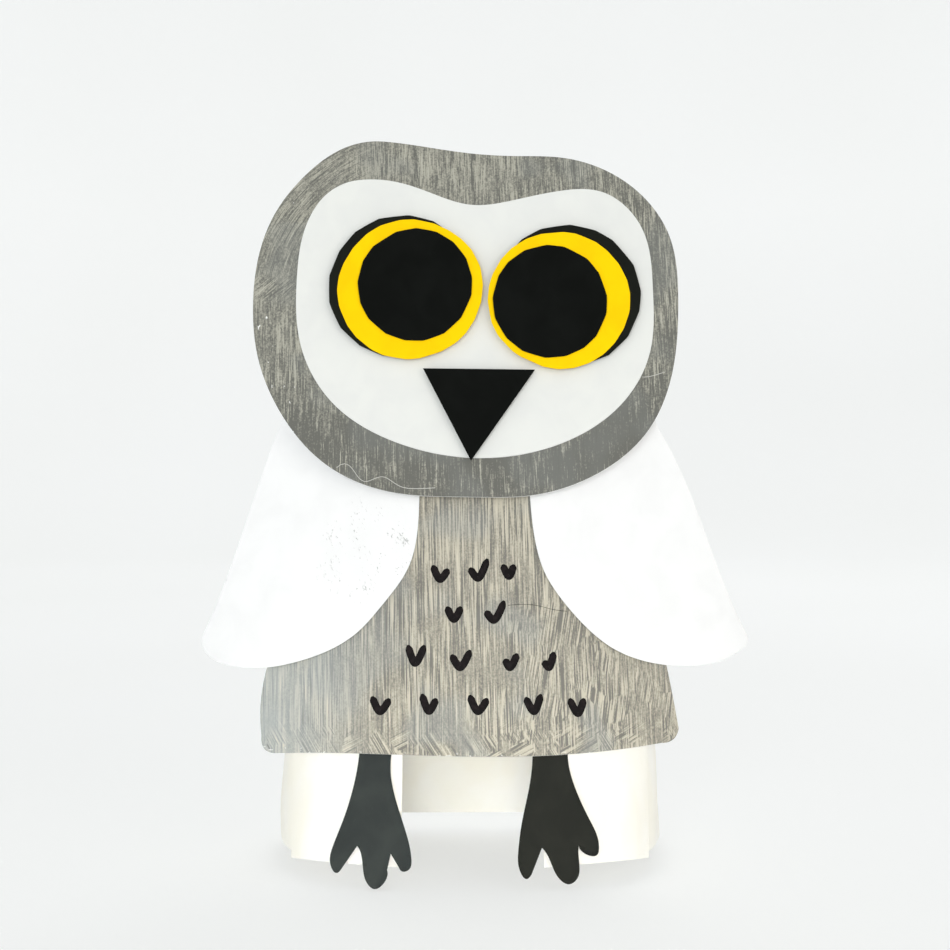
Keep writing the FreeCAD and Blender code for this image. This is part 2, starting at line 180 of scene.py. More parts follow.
class Shader:
    """A node material under construction."""

    def __init__(self, name: str) -> None:
        """Starts an empty node material.

        Args:
            name: the material's name.
        """
        self.material = bpy.data.materials.new(name)
        self.material.use_nodes = True
        self.tree = self.material.node_tree
        self.tree.nodes.clear()

    def add(self, kind: str, settings: dict | None = None, inputs: dict | None = None,
            output: int | str | None = 0) -> Wire | None:
        """Adds any node.

        Args:
            kind: the node's type.
            settings: properties set first; "stops" fills a colour ramp.
            inputs: values or wires by socket name or index.
            output: which output is returned, if any.

        Returns:
            The chosen output as a wire.
        """
        node = self.tree.nodes.new(kind)
        for key, value in (settings or {}).items():
            if key == "stops":
                self._fill_ramp(node.color_ramp, value)
            else:
                setattr(node, key, value)
        for key, value in (inputs or {}).items():
            self._feed(node.inputs[key], value)
        return None if output is None else Wire(self, node.outputs[output])

    @staticmethod
    def _fill_ramp(ramp: bpy.types.ColorRamp, stops: Sequence[tuple[float, Colour]]) -> None:
        """Sets a colour ramp's stops.

        Args:
            ramp: the ramp.
            stops: a place from 0 to 1 and a colour for each stop, in order.
        """
        while len(ramp.elements) < len(stops):
            ramp.elements.new(0.5)
        for element, (place, colour) in zip(ramp.elements, stops):
            element.position = place
            element.color = (*colour, 1)

    def _feed(self, socket: bpy.types.NodeSocket, value: object) -> None:
        """Links a wire to a socket, or sets the socket's own value.

        Args:
            socket: an input socket.
            value: a wire, a number, a vector or a colour.
        """
        if isinstance(value, Wire):
            self.tree.links.new(value.socket, socket)
        elif socket.type == "RGBA" and len(value) == 3:
            socket.default_value = (*value, 1)
        else:
            socket.default_value = value

    def place(self) -> Wire:
        """Object coordinates in millimetres."""
        raw = self.add("ShaderNodeTexCoord", output="Object")
        return self.add("ShaderNodeVectorMath", {"operation": "SCALE"}, {0: raw, "Scale": 1 / MM})

    def axis(self, vector: Wire, name: str) -> Wire:
        """One of a vector's X, Y and Z."""
        return self.add("ShaderNodeSeparateXYZ", None, {0: vector}, name)

    def turned(self, vector: Wire, turn: float) -> Wire:
        """Coordinates turned about Y by an angle in degrees."""
        return self.add("ShaderNodeMapping", None,
                        {"Vector": vector, "Rotation": (0, math.radians(turn), 0)})

    def stretched(self, vector: Wire, lengths: Sequence[float]) -> Wire:
        """Coordinates in which a pattern has its own length along each axis.

        Args:
            vector: coordinates in millimetres.
            lengths: the pattern's size along X, Y and Z in millimetres.

        Returns:
            The new coordinates.
        """
        factors = tuple(1 / length for length in lengths)
        return self.add("ShaderNodeVectorMath", {"operation": "MULTIPLY"}, {0: vector, 1: factors})

    def ring(self, vector: Wire, centre: Span, radii: Span) -> Wire:
        """Coordinates that run round an oval: X outwards and Z along its rim.

        Args:
            vector: coordinates in millimetres.
            centre: the oval's middle along X and Z.
            radii: its half width and half height.

        Returns:
            The new coordinates, in millimetres near the rim.
        """
        mean = sum(radii) / 2
        across = (self.axis(vector, "X") - centre[0]) / radii[0]
        up = (self.axis(vector, "Z") - centre[1]) / radii[1]
        out = (across * across + up * up) ** 0.5 * mean
        turn = self.add("ShaderNodeMath", {"operation": "ARCTAN2"}, {0: across, 1: up}) * mean
        return self.add("ShaderNodeCombineXYZ", None, {0: out, 1: 0.0, 2: turn})

    def grain(self, vector: Wire, detail: float = 2.0, rough: float = 0.5, bend: float = 0.0) -> Wire:
        """Noise from 0 to 1 whose features are one unit of the coordinates across.

        Args:
            vector: the coordinates.
            detail: how many finer layers of noise are added.
            rough: how strong those layers are.
            bend: how much the noise is distorted.

        Returns:
            The noise.
        """
        return self.add("ShaderNodeTexNoise", None,
                        {"Vector": vector, "Scale": 1.0, "Detail": detail, "Roughness": rough,
                         "Distortion": bend})

    def step(self, value: Value, low: float, high: float) -> Wire:
        """A smooth step from 0 at low to 1 at high."""
        return self.add("ShaderNodeMapRange", {"interpolation_type": "SMOOTHSTEP"},
                        {0: value, 1: low, 2: high})

    def mix(self, factor: Value, first: object, second: object) -> Wire:
        """A colour between two colours."""
        return self.add("ShaderNodeMix", {"data_type": "RGBA"}, {0: factor, 6: first, 7: second}, 2)

    def ramp(self, value: Wire, stops: Sequence[tuple[float, Colour]]) -> Wire:
        """A colour read from a ramp."""
        return self.add("ShaderNodeValToRGB", {"stops": stops}, {0: value})

    def bump(self, height: Wire, depth_mm: float, strength: float = 1.0,
             under: Wire | None = None) -> Wire:
        """A normal bent by a height.

        Args:
            height: the height, from 0 to 1.
            depth_mm: how far the height reaches, in millimetres.
            strength: how much of it is used.
            under: a normal that it is added to.

        Returns:
            The bent normal.
        """
        inputs = {"Height": height, "Distance": depth_mm * MM, "Strength": strength}
        if under:
            inputs["Normal"] = under
        return self.add("ShaderNodeBump", None, inputs)

    def finish(self, colour: object, roughness: Value, normal: Wire | None = None,
               specular: float = 0.5, through: float = 0.0, glow: float = 0.0) -> bpy.types.Material:
        """Closes the material with a surface shader.

        Args:
            colour: the base colour, a wire or a constant.
            roughness: a wire or a constant.
            normal: the bent normal.
            specular: the specular level, a constant.
            through: the share of light that shines through from behind, a constant.
            glow: the strength of its own light, a constant.

        Returns:
            The finished material.
        """
        inputs = {"Base Color": colour, "Roughness": roughness, "Specular IOR Level": specular}
        if normal:
            inputs["Normal"] = normal
        if glow:
            inputs["Emission Color"] = colour
            inputs["Emission Strength"] = glow
        surface = self.add("ShaderNodeBsdfPrincipled", None, inputs)
        if through:
            lit = self.add("ShaderNodeBsdfTranslucent", None, {"Color": colour})
            surface = self.add("ShaderNodeMixShader", None, {0: through, 1: surface, 2: lit})
        self.add("ShaderNodeOutputMaterial", None, {"Surface": surface}, None)
        return self.material


def srgb(red: int, green: int, blue: int) -> Colour:
    """A screen colour as the linear colour that a shader takes.

    Args:
        red: red from 0 to 255.
        green: green from 0 to 255.
        blue: blue from 0 to 255.

    Returns:
        The linear colour.
    """
    def linear(value: float) -> float:
        """One channel."""
        return value / 12.92 if value <= 0.04045 else ((value + 0.055) / 1.055) ** 2.4
    return tuple(linear(channel / 255) for channel in (red, green, blue))


# ---------------------------------------------------------------------------------------------------
# Finishes
# ---------------------------------------------------------------------------------------------------


@dataclass(frozen=True)
class BagPaper:
    """White machine-glazed bag paper: warm in tone, with fibres, faint streaks and soft crumples."""

    name: str = "bag_paper"
    tone: Colour = srgb(253, 252, 248)
    shade: Colour = srgb(250, 247, 236)
    fibre: Point = (0.5, 0.5, 2.5)
    cloud: Point = (26, 26, 34)
    crumple: Point = (17, 17, 23)

    def material(self) -> bpy.types.Material:
        """Builds the node material.

        Returns:
            The material.
        """
        shader = Shader(self.name)
        place = shader.place()
        fibres = shader.grain(shader.stretched(place, self.fibre), detail=3.0)
        clouds = shader.grain(shader.stretched(place, self.cloud), detail=3.0, bend=0.6)
        cells = shader.stretched(shader.turned(place, 14.0), self.crumple)
        crumple = shader.add("ShaderNodeTexVoronoi", {"feature": "DISTANCE_TO_EDGE"},
                             {"Vector": cells, "Scale": 1.0, "Randomness": 1.0})
        ridge = 1 - shader.step(crumple, 0.0, 0.09)
        mottled = shader.mix(shader.step(clouds, 0.3, 0.75), self.tone, self.shade)
        colour = shader.mix(shader.step(fibres, 0.55, 0.85) * 0.25, mottled, self.shade)
        soft = shader.bump(clouds, 0.6, 0.35)
        creased = shader.bump(ridge, 0.12, 0.25, soft)
        normal = shader.bump(fibres, 0.03, 0.5, creased)
        return shader.finish(colour, 0.62 + fibres * 0.2, normal, specular=0.3, through=0.16)


@dataclass(frozen=True)
class BrushedPaint:
    """Thin water paint brushed on card: bristle lines, thin and pooled patches, and bare chips.

    Three tones go from a thin coat to a thick one, streak is the card between two bristle lines, and
    reach is how long the fine and the broad lines are, in millimetres.
    """

    name: str
    thin: Colour
    middle: Colour
    thick: Colour
    streak: Colour
    cool: Colour
    reach: Span
    contrast: float
    calm: float
    dabbing: float
    grit: float
    bareness: float
    # the tint of the cool light painted on one side of a coat
    painted_cool_light_tint: Colour = srgb(182, 189, 189)
    chipped: Colour = srgb(236, 236, 232)
    bristle: Span = (0.36, 4)
    tuft: Span = (1.2, 8)
    patch: Point = (11, 11, 20)
    dab: Point = (0.8, 1.0, 1.3)
    speck: Point = (0.5, 1, 0.6)
    wash: Point = (22, 22, 22)
    tooth: Point = (0.35, 0.35, 0.35)
    washed: float = 0.32
    pooled: float = 0.6

    def strokes(self, shader: Shader, place: Wire) -> tuple[Wire, Wire]:
        """Two scales of brush mark along the Z of some coordinates.

        Args:
            shader: the material being built.
            place: coordinates in millimetres.

        Returns:
            The fine bristle lines and the broader ones.
        """
        short, long = self.reach
        fine = shader.grain(shader.stretched(place, (*self.bristle, short)), detail=1.0)
        broad = shader.grain(shader.stretched(place, (*self.tuft, long)), detail=2.0, rough=0.62)
        return fine, broad

    def zones(self, shader: Shader, place: Wire) -> list[tuple[Wire, Wire]]:
        """Where the brush went another way than upright.

        Args:
            shader: the material being built.
            place: coordinates in millimetres.

        Returns:
            Pairs of a mask and the coordinates to brush along there.
        """
        return []

    def painted_shade_bias(self, shader: Shader, place: Wire) -> Value:
        """How much paler the coat is painted from place to place; below zero this is painted shade."""
        return 0.0

    def painted_cool_light(self, shader: Shader, place: Wire) -> Value:
        """Where cool light is painted on the coat, from 0 to 1."""
        return 0.0

    def chips(self, shader: Shader, place: Wire) -> Value:
        """Where bare card shows, from 0 to 1."""
        return 0.0

    def material(self) -> bpy.types.Material:
        """Builds the node material.

        Returns:
            The material.
        """
        shader = Shader(self.name)
        place = shader.place()
        fine, broad = self.strokes(shader, shader.turned(place, 1.5))
        for mask, along in self.zones(shader, place):
            other_fine, other_broad = self.strokes(shader, along)
            fine = fine * (1 - mask) + other_fine * mask
            broad = broad * (1 - mask) + other_broad * mask
        ridges = fine * 0.5 + broad * 0.5
        patches = shader.grain(shader.stretched(place, self.patch), detail=2.5, bend=1.2)
        dabs = shader.grain(shader.stretched(place, self.dab), detail=3.0, rough=0.65)
        specks = shader.grain(shader.stretched(place, self.speck), detail=1.0)
        gain = self.calm + shader.step(patches, 0.36, 0.58) * (1.2 - self.calm)
        lines = ((fine - 0.5) * 2.6 + (broad - 0.5) * 1.8) * gain * self.contrast
        dabbed = (dabs - 0.5) * self.dabbing + (specks - 0.5) * self.grit
        # cover also takes the head's painted shade
        cover = 0.5 + lines + (patches - 0.5) * 0.7 + dabbed + self.painted_shade_bias(shader, place)
        colour = shader.ramp(cover, [(0.12, self.thick), (0.5, self.middle), (0.88, self.thin)])
        wash = shader.grain(shader.stretched(place, self.wash), detail=1.0)
        colour = shader.mix(shader.step(wash, 0.5, 0.64) * self.washed, colour, self.cool)
        # painted cool light on the body's left side
        colour = shader.mix(self.painted_cool_light(shader, place), colour, self.painted_cool_light_tint)
        bare = shader.step(ridges, 0.6, 0.66) * gain
        colour = shader.mix(bare * self.bareness, colour, self.streak)
        pools = shader.step(1 - ridges, 0.59, 0.65) * gain
        colour = shader.mix(pools * self.pooled, colour, self.thick)
        colour = shader.mix(self.chips(shader, place), colour, self.chipped)
        tooth = shader.grain(shader.stretched(place, self.tooth), detail=2.0)
        normal = shader.bump(tooth, 0.03, 0.4)
        normal = shader.bump(ridges, 0.1, 0.6, normal)
        return shader.finish(colour, 0.5 + fine * 0.3, normal, specular=0.3)


@dataclass(frozen=True)
class HeadPaint(BrushedPaint):
    """The head's coat, brushed along the rim at its upper left and aslant below that."""

    centre: Span = (1.5, 180.0)
    radii: Span = (70.0, 58.0)

    def zones(self, shader: Shader, place: Wire) -> list[tuple[Wire, Wire]]:
        """The rim strokes and the slanted ones, both on the left.

        Args:
            shader: the material being built.
            place: coordinates in millimetres.

        Returns:
            Pairs of a mask and the coordinates to brush along there.
        """
        left = 1 - shader.step(shader.axis(place, "X"), -50.0, -28.0)
        up = shader.axis(place, "Z")
        ring = shader.ring(place, self.centre, self.radii)
        outer = shader.step(shader.axis(ring, "X"), 53.0, 56.0)
        high = shader.step(up, 184.0, 190.0)
        slant = shader.step(up, 176.0, 182.0) * (1 - high)
        return [(left * slant, shader.turned(place, -48.0)),
                (left * high * (1 - outer), shader.turned(place, -22.0)),
                (left * high * outer, ring)]

    def painted_shade_bias(self, shader: Shader, place: Wire) -> Value:
        """Painted shade: the coat is painted darker under the face, towards the bottom, and at the
        right.

        Args:
            shader: the material being built.
            place: coordinates in millimetres.

        Returns:
            What is added to the paleness of the coat; the painted shade is below zero.
        """
        # painted shade: darker towards the bottom of the head and at its right side
        low = shader.step(shader.axis(place, "Z"), 126.0, 158.0) - 1
        right = shader.step(shader.axis(place, "X"), 20.0, 60.0)
        return low * 0.42 - right * 0.14

    def chips(self, shader: Shader, place: Wire) -> Value:
        """A few chips on the left rim.

        Args:
            shader: the material being built.
            place: coordinates in millimetres.

        Returns:
            Where bare card shows, from 0 to 1.
        """
        rim = shader.step(shader.axis(shader.ring(place, self.centre, self.radii), "X"), 61.0, 63.5)
        left = 1 - shader.step(shader.axis(place, "X"), -60.0, -50.0)
        flake = shader.grain(shader.stretched(place, (1.3, 1.0, 3.0)), detail=2.0)
        return shader.step(flake, 0.73, 0.75) * rim * left


@dataclass(frozen=True)
class BodyPaint(BrushedPaint):
    """The body's coat, swirled and chipped along its lower edge, with cool light painted on its left.
    """

    low: float = 37.0

    def zones(self, shader: Shader, place: Wire) -> list[tuple[Wire, Wire]]:
        """Slanted strokes at the right, and crossed ones where the brush turned at the lower edge.

        Args:
            shader: the material being built.
            place: coordinates in millimetres.

        Returns:
            Pairs of a mask and the coordinates to brush along there.
        """
        up = shader.axis(place, "Z")
        near = 1 - shader.step(up, self.low + 3.0, self.low + 14.0)
        patch = shader.grain(shader.stretched(place, (12, 12, 9)), detail=2.0, bend=1.0)
        right = shader.step(shader.axis(place, "X"), 6.0, 14.0) * (1 - shader.step(up, 74.0, 84.0))
        return [(right * shader.step(patch, 0.46, 0.56), shader.turned(place, -9.0)),
                (near * shader.step(patch, 0.47, 0.6), shader.turned(place, 33.0)),
                (near * (1 - shader.step(patch, 0.4, 0.46)), shader.turned(place, -62.0))]

    def painted_cool_light(self, shader: Shader, place: Wire) -> Value:
        """Painted light: the coat is painted paler and cooler towards the left edge."""
        return (1 - shader.step(shader.axis(place, "X"), -66.0, -24.0)) * 0.55

    def chips(self, shader: Shader, place: Wire) -> Value:
        """Small chips along the lower edge.

        Args:
            shader: the material being built.
            place: coordinates in millimetres.

        Returns:
            Where bare card shows, from 0 to 1.
        """
        rim = 1 - shader.step(shader.axis(place, "Z"), self.low + 1.0, self.low + 3.5)
        flake = shader.grain(shader.stretched(place, (1.6, 1.0, 0.9)), detail=2.0)
        return shader.step(flake, 0.66, 0.68) * rim


@dataclass(frozen=True)
class PlainCard:
    """Dyed or white card: an even colour with fine grain and slightly cloudy dye.

    Dusty is how strong its pale dust is, and speckled is where flecks of stray paint lie across and
    up, and how far they reach, in millimetres.
    """

    name: str
    colour: Colour
    cloud: Colour
    roughness: float = 0.72
    specular: float = 0.35
    dusty: float = 0.0
    speckled: Point | None = None
    fleck: Colour = srgb(120, 122, 118)

    def material(self) -> bpy.types.Material:
        """Builds the node material.

        Returns:
            The material.
        """
        shader = Shader(self.name)
        place = shader.place()
        grain = shader.grain(shader.stretched(place, (0.3, 0.3, 0.3)), detail=3.0)
        clouds = shader.grain(shader.stretched(place, (11, 11, 14)), detail=4.0, bend=0.5)
        colour = shader.mix(shader.step(clouds, 0.35, 0.72), self.colour, self.cloud)
        if self.dusty:
            dust = shader.grain(shader.stretched(place, (0.28, 0.28, 0.6)), detail=4.0, rough=0.7)
            lighter = tuple(channel * 2.2 + 0.02 for channel in self.cloud)
            colour = shader.mix(shader.step(dust, 0.63, 0.78) * self.dusty, colour, lighter)
        if self.speckled:
            colour = self.add_flecks(shader, place, colour)
        normal = shader.bump(grain, 0.025, 0.5)
        normal = shader.bump(clouds, 0.25, 0.15, normal)
        return shader.finish(colour, self.roughness + (grain - 0.5) * 0.15, normal, self.specular)

    def add_flecks(self, shader: Shader, place: Wire, colour: Wire) -> Wire:
        """Scatters grey flecks of stray paint round one spot.

        Args:
            shader: the material being built.
            place: coordinates in millimetres.
            colour: the colour that the flecks lie on.

        Returns:
            The flecked colour.
        """
        across, up, reach = self.speckled
        spot = shader.add("ShaderNodeCombineXYZ", None, {0: across, 1: 0.0, 2: up})
        flat = shader.add("ShaderNodeVectorMath", {"operation": "MULTIPLY"}, {0: place, 1: (1, 0, 1)})
        away = shader.add("ShaderNodeVectorMath", {"operation": "DISTANCE"},
                          {0: flat, 1: spot}, "Value")
        near = 1 - shader.step(away, reach * 0.35, reach)
        slanted = shader.turned(place, 28.0)
        fleck = shader.grain(shader.stretched(slanted, (0.7, 0.7, 2.4)), detail=4.0, rough=0.7)
        smear = shader.grain(shader.stretched(place, (6, 6, 9)), detail=3.0)
        shown = shader.step(fleck + near * 0.06 + (smear - 0.5) * 0.4, 0.66, 0.72)
        return shader.mix(shown * near * 0.6, colour, self.fleck)


@dataclass(frozen=True)
class FoamPad:
    """White closed-cell foam with small open pores on its cut sides, the pores painted darker as
    painted shade.
    """

    name: str = "foam_pad"
    painted_pore_shade: Colour = srgb(214, 214, 210)
    skin: Colour = srgb(238, 238, 235)

    def material(self) -> bpy.types.Material:
        """Builds the node material.

        Returns:
            The material.
        """
        shader = Shader(self.name)
        place = shader.place()
        pores = shader.add("ShaderNodeTexVoronoi", None,
                           {"Vector": shader.stretched(place, (0.28, 0.28, 0.28)), "Scale": 1.0})
        # painted shade in the pores
        colour = shader.mix(shader.step(pores, 0.1, 0.5), self.painted_pore_shade, self.skin)
        return shader.finish(colour, 0.8, shader.bump(pores, 0.12, 0.6), specular=0.3)


@dataclass(frozen=True)
class DriedInk:
    """Black marker ink, a little thinner and browner in patches."""

    name: str = "ink"
    deep: Colour = srgb(14, 10, 11)
    worn: Colour = srgb(30, 24, 25)

    def material(self) -> bpy.types.Material:
        """Builds the node material.

        Returns:
            The material.
        """
        shader = Shader(self.name)
        place = shader.place()
        pools = shader.grain(shader.stretched(place, (1.3, 1.3, 1.6)), detail=3.0)
        colour = shader.mix(shader.step(pools, 0.4, 0.7), self.deep, self.worn)
        return shader.finish(colour, 0.5 + pools * 0.3, shader.bump(pools, 0.04, 0.4), specular=0.12)


def made(finish: type, *values: object, **options: object) -> bpy.types.Material:
    """A dataclass field that builds one finish's material.

    Args:
        finish: the finish's class.
        values: its first fields, in order.
        options: its other fields.

    Returns:
        The field.
    """
    return field(default_factory=lambda: finish(*values, **options).material())


@dataclass(frozen=True)
class Finishes:
    """Every finish of the puppet, built once."""

    paper: bpy.types.Material = made(BagPaper)
    head_paint: bpy.types.Material = made(
        HeadPaint, "painted_head_card", thin=srgb(170, 168, 155), middle=srgb(139, 138, 128),
        thick=srgb(104, 104, 98), streak=srgb(188, 186, 174), cool=srgb(128, 131, 128),
        reach=(8.0, 24.0), contrast=0.8, calm=0.5, dabbing=1.1, grit=1.2, bareness=0.45)
    body_paint: bpy.types.Material = made(
        BodyPaint, "painted_body_card", thin=srgb(194, 188, 171), middle=srgb(162, 157, 143),
        thick=srgb(119, 117, 110), streak=srgb(211, 205, 189), cool=srgb(149, 154, 154),
        reach=(60.0, 130.0), contrast=1.35, calm=0.35, dabbing=0.6, grit=0.7, bareness=0.9,
        low=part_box("body_card")[0].z / MM)
    white: bpy.types.Material = made(
        PlainCard, "white_card", srgb(240, 240, 240), srgb(236, 236, 236))
    flecked: bpy.types.Material = made(
        PlainCard, "white_card_flecked", srgb(240, 240, 240), srgb(236, 236, 236),
        speckled=(-32.0, 94.0, 24.0))
    face: bpy.types.Material = made(
        PlainCard, "white_card_face", srgb(229, 230, 226), srgb(225, 226, 223))
    black: bpy.types.Material = made(
        PlainCard, "black_card", srgb(10, 12, 10), srgb(15, 17, 15), 0.7, 0.06, dusty=0.05)
    # black card painted lighter as painted sheen, with pale dust; used for the right foot and the dark
    # bristle
    sheen_and_dust_black: bpy.types.Material = made(
        PlainCard, "black_card_rubbed", srgb(36, 37, 33), srgb(42, 43, 38), 0.75, 0.1, dusty=0.3)
    rim_black: bpy.types.Material = made(
        PlainCard, "black_card_rim", srgb(22, 24, 20), srgb(27, 29, 24), 0.75, 0.08, dusty=0.2)
    # black card painted lighter still as painted sheen, with pale dust; used for the left foot
    faded: bpy.types.Material = made(
        PlainCard, "black_card_faded", srgb(50, 54, 53), srgb(58, 62, 60), 0.75, 0.12, dusty=0.35)
    yellow: bpy.types.Material = made(
        PlainCard, "yellow_card", srgb(254, 211, 0), srgb(252, 203, 0), 0.7, 0.08)
    bristle: bpy.types.Material = made(
        PlainCard, "pale_bristle", srgb(205, 204, 198), srgb(190, 189, 182), 0.5)
    foam: bpy.types.Material = made(FoamPad)
    ink: bpy.types.Material = made(DriedInk)


# ---------------------------------------------------------------------------------------------------
# Modelling tools
# ---------------------------------------------------------------------------------------------------


def select_only(piece: bpy.types.Object) -> None:
    """Deselects everything else and makes one piece active.

    Args:
        piece: the piece.
    """
    bpy.ops.object.select_all(action="DESELECT")
    piece.select_set(True)
    bpy.context.view_layer.objects.active = piece


@contextmanager
def editing(piece: bpy.types.Object) -> Iterator[None]:
    """Edit mode on one piece, with all of its mesh selected.

    Args:
        piece: the piece.

    Yields:
        Nothing, while the piece is in edit mode.
    """
    select_only(piece)
    bpy.ops.object.mode_set(mode="EDIT")
    bpy.ops.mesh.select_all(action="SELECT")
    yield
    bpy.ops.object.mode_set(mode="OBJECT")


def modify(piece: bpy.types.Object, kind: str, **settings: object) -> None:
    """Adds one modifier, sets it up and applies it.

    Args:
        piece: the piece.
        kind: the modifier's type.
        settings: its properties.
    """
    select_only(piece)
    modifier = piece.modifiers.new(kind.lower(), kind)
    for key, value in settings.items():
        setattr(modifier, key, value)
    bpy.ops.object.modifier_apply(modifier=modifier.name)


def copy_node(node: str, name: str) -> bpy.types.Object:
    """Copies a CAD node as a closed mesh that can be shaped.

    Args:
        node: the node's name.
        name: the copy's name.

    Returns:
        The copy.
    """
    piece = bpy.data.objects.new(name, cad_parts[node].data.copy())
    bpy.context.scene.collection.objects.link(piece)
    piece.data.materials.clear()
    with editing(piece):
        bpy.ops.mesh.remove_doubles(threshold=0.002 * MM)
    return piece


def new_sheet(name: str, columns: int, rows: int) -> bpy.types.Object:
    """Adds a flat grid, one unit across, that is to be laid out as a sheet.

    Args:
        name: the piece's name.
        columns: its divisions across.
        rows: its divisions up.

    Returns:
        The grid.
    """
    bpy.ops.object.select_all(action="DESELECT")
    bpy.ops.mesh.primitive_grid_add(x_subdivisions=columns, y_subdivisions=rows, size=1)
    piece = bpy.context.object
    piece.name = name
    return piece


def cut(point: Vector | Point, normal: Vector) -> None:
    """Cuts all of the piece in edit mode along one plane.

    Args:
        point: a point on the plane.
        normal: the plane's normal.
    """
    bpy.ops.mesh.select_all(action="SELECT")
    bpy.ops.mesh.bisect(plane_co=point, plane_no=normal)


def slice_cells(piece: bpy.types.Object, cell: float) -> None:
    """Cuts a piece into level strips and then into upright ones, so that it can bend.

    Args:
        piece: the piece.
        cell: the strips' width.
    """
    corners = [Vector(corner) for corner in piece.bound_box]
    low = Vector(map(min, zip(*corners)))
    high = Vector(map(max, zip(*corners)))
    with editing(piece):
        for axis, normal in ((2, UP_SLOPE), (0, ACROSS)):
            count = int((high[axis] - low[axis]) / cell)
            for index in range(1, count + 1):
                point = (low + high) / 2
                point[axis] = low[axis] + (high[axis] - low[axis]) * index / (count + 1)
                cut(point, normal)


def shape(piece: bpy.types.Object, mover: Mover) -> None:
    """Moves every vertex of a piece."""
    for vertex in piece.data.vertices:
        vertex.co = mover(vertex.co)


def soften(piece: bpy.types.Object, sharp: float = 32.0) -> None:
    """Shades a piece smooth except over its sharp edges.

    Args:
        piece: the piece.
        sharp: the angle, in degrees, from which an edge is sharp.
    """
    select_only(piece)
    bpy.ops.object.shade_smooth_by_angle(angle=math.radians(sharp))
    modify(piece, "WEIGHTED_NORMAL", keep_sharp=True, weight=80)


def dress(piece: bpy.types.Object, front: bpy.types.Material, rest: bpy.types.Material | None = None,
          facing: Vector = OUT) -> None:
    """Gives a piece its finish, with a second one on its cut edges and back.

    Args:
        piece: the piece.
        front: the finish of faces that face outwards.
        rest: the finish of all others.
        facing: which way outwards is.
    """
    piece.data.materials.clear()
    piece.data.materials.append(front)
    if rest:
        piece.data.materials.append(rest)
        for face in piece.data.polygons:
            face.material_index = int(face.normal.dot(facing) < 0.6)


def ripple(point: Vector, period: float, seed: float) -> float:
    """Smooth noise from -1 to 1 that changes over one period, the same on both faces of a sheet."""
    return noise.noise(Vector((point.x / period, point.z / period, seed)))


def smoothstep(value: float, low: float, high: float) -> float:
    """A smooth step from 0 at low to 1 at high."""
    share = min(1.0, max(0.0, (value - low) / (high - low)))
    return share * share * (3 - 2 * share)


def finish_piece(piece: bpy.types.Object, body: Body, slot: Slot, *nodes: str) -> None:
    """Puts a piece on its body and hides the CAD nodes that it stands for.

    Args:
        piece: the piece.
        body: the body that it rides on.
        slot: its material slot; not used.
        nodes: the CAD nodes.
    """
    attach(piece, body.value)
    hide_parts(*nodes)
    LOG.info("%s: %d faces", piece.name, len(piece.data.polygons))


def lay_stroke(points: Sequence[tuple[float, float]], radii: Sequence[float], name: str,
               order: int) -> bpy.types.Object:
    """Draws one round stroke flat on the XY plane as a mesh.

    Args:
        points: across and up, in millimetres, of the stroke's control points.
        radii: its radius at each of them, in metres.
        name: the piece's name.
        order: the smoothness of the curve.

    Returns:
        The stroke.
    """
    curve = bpy.data.curves.new(name, "CURVE")
    curve.dimensions = "3D"
    curve.bevel_depth = 1.0
    curve.bevel_resolution = 3
    curve.use_fill_caps = True
    spline = curve.splines.new("NURBS")
    spline.points.add(len(points) - 1)
    for control, (across, up), radius in zip(spline.points, points, radii):
        control.co = (across * MM, up * MM, 0, 1)
        control.radius = radius
    spline.order_u = order
    spline.use_endpoint_u = True
    spline.resolution_u = 5
    drawn = bpy.data.objects.new(name, curve)
    bpy.context.scene.collection.objects.link(drawn)
    mesh = bpy.data.meshes.new_from_object(drawn.evaluated_get(bpy.context.evaluated_depsgraph_get()))
    bpy.data.objects.remove(drawn)
    piece = bpy.data.objects.new(name, mesh)
    bpy.context.scene.collection.objects.link(piece)
    return piece


def lay_on(piece: bpy.types.Object, under: bpy.types.Object, thinness: float) -> None:
    """Lays a flat drawn stroke on the front of another piece.

    Args:
        piece: the stroke, drawn across and up.
        under: the piece that it lies on.
        thinness: its thickness as a share of its width.
    """
    surface = BVHTree.FromObject(under, bpy.context.evaluated_depsgraph_get())

    def mover(point: Vector) -> Vector:
        """Drops one point on the surface."""
        above = RIM_FRONT + ACROSS * point.x + UP_SLOPE * point.y + OUT * 0.02
        hit = surface.ray_cast(above, -OUT)[0]
        return (hit or above - OUT * 0.02) + OUT * (0.03 * MM + point.z * thinness)

    shape(piece, mover)
    with editing(piece):
        bpy.ops.mesh.remove_doubles(threshold=0.005 * MM)
        bpy.ops.mesh.normals_make_consistent(inside=False)
    soften(piece, 60)


# ---------------------------------------------------------------------------------------------------
# The bag
# ---------------------------------------------------------------------------------------------------


def front_wave(point: Vector) -> Vector:
    """The gentle unevenness that the bag's front and every card glued to it share."""
    lift = 0.55 * ripple(point, 0.062, 1.7) + 0.25 * ripple(point, 0.028, 5.2)
    return point + OUT * lift * MM


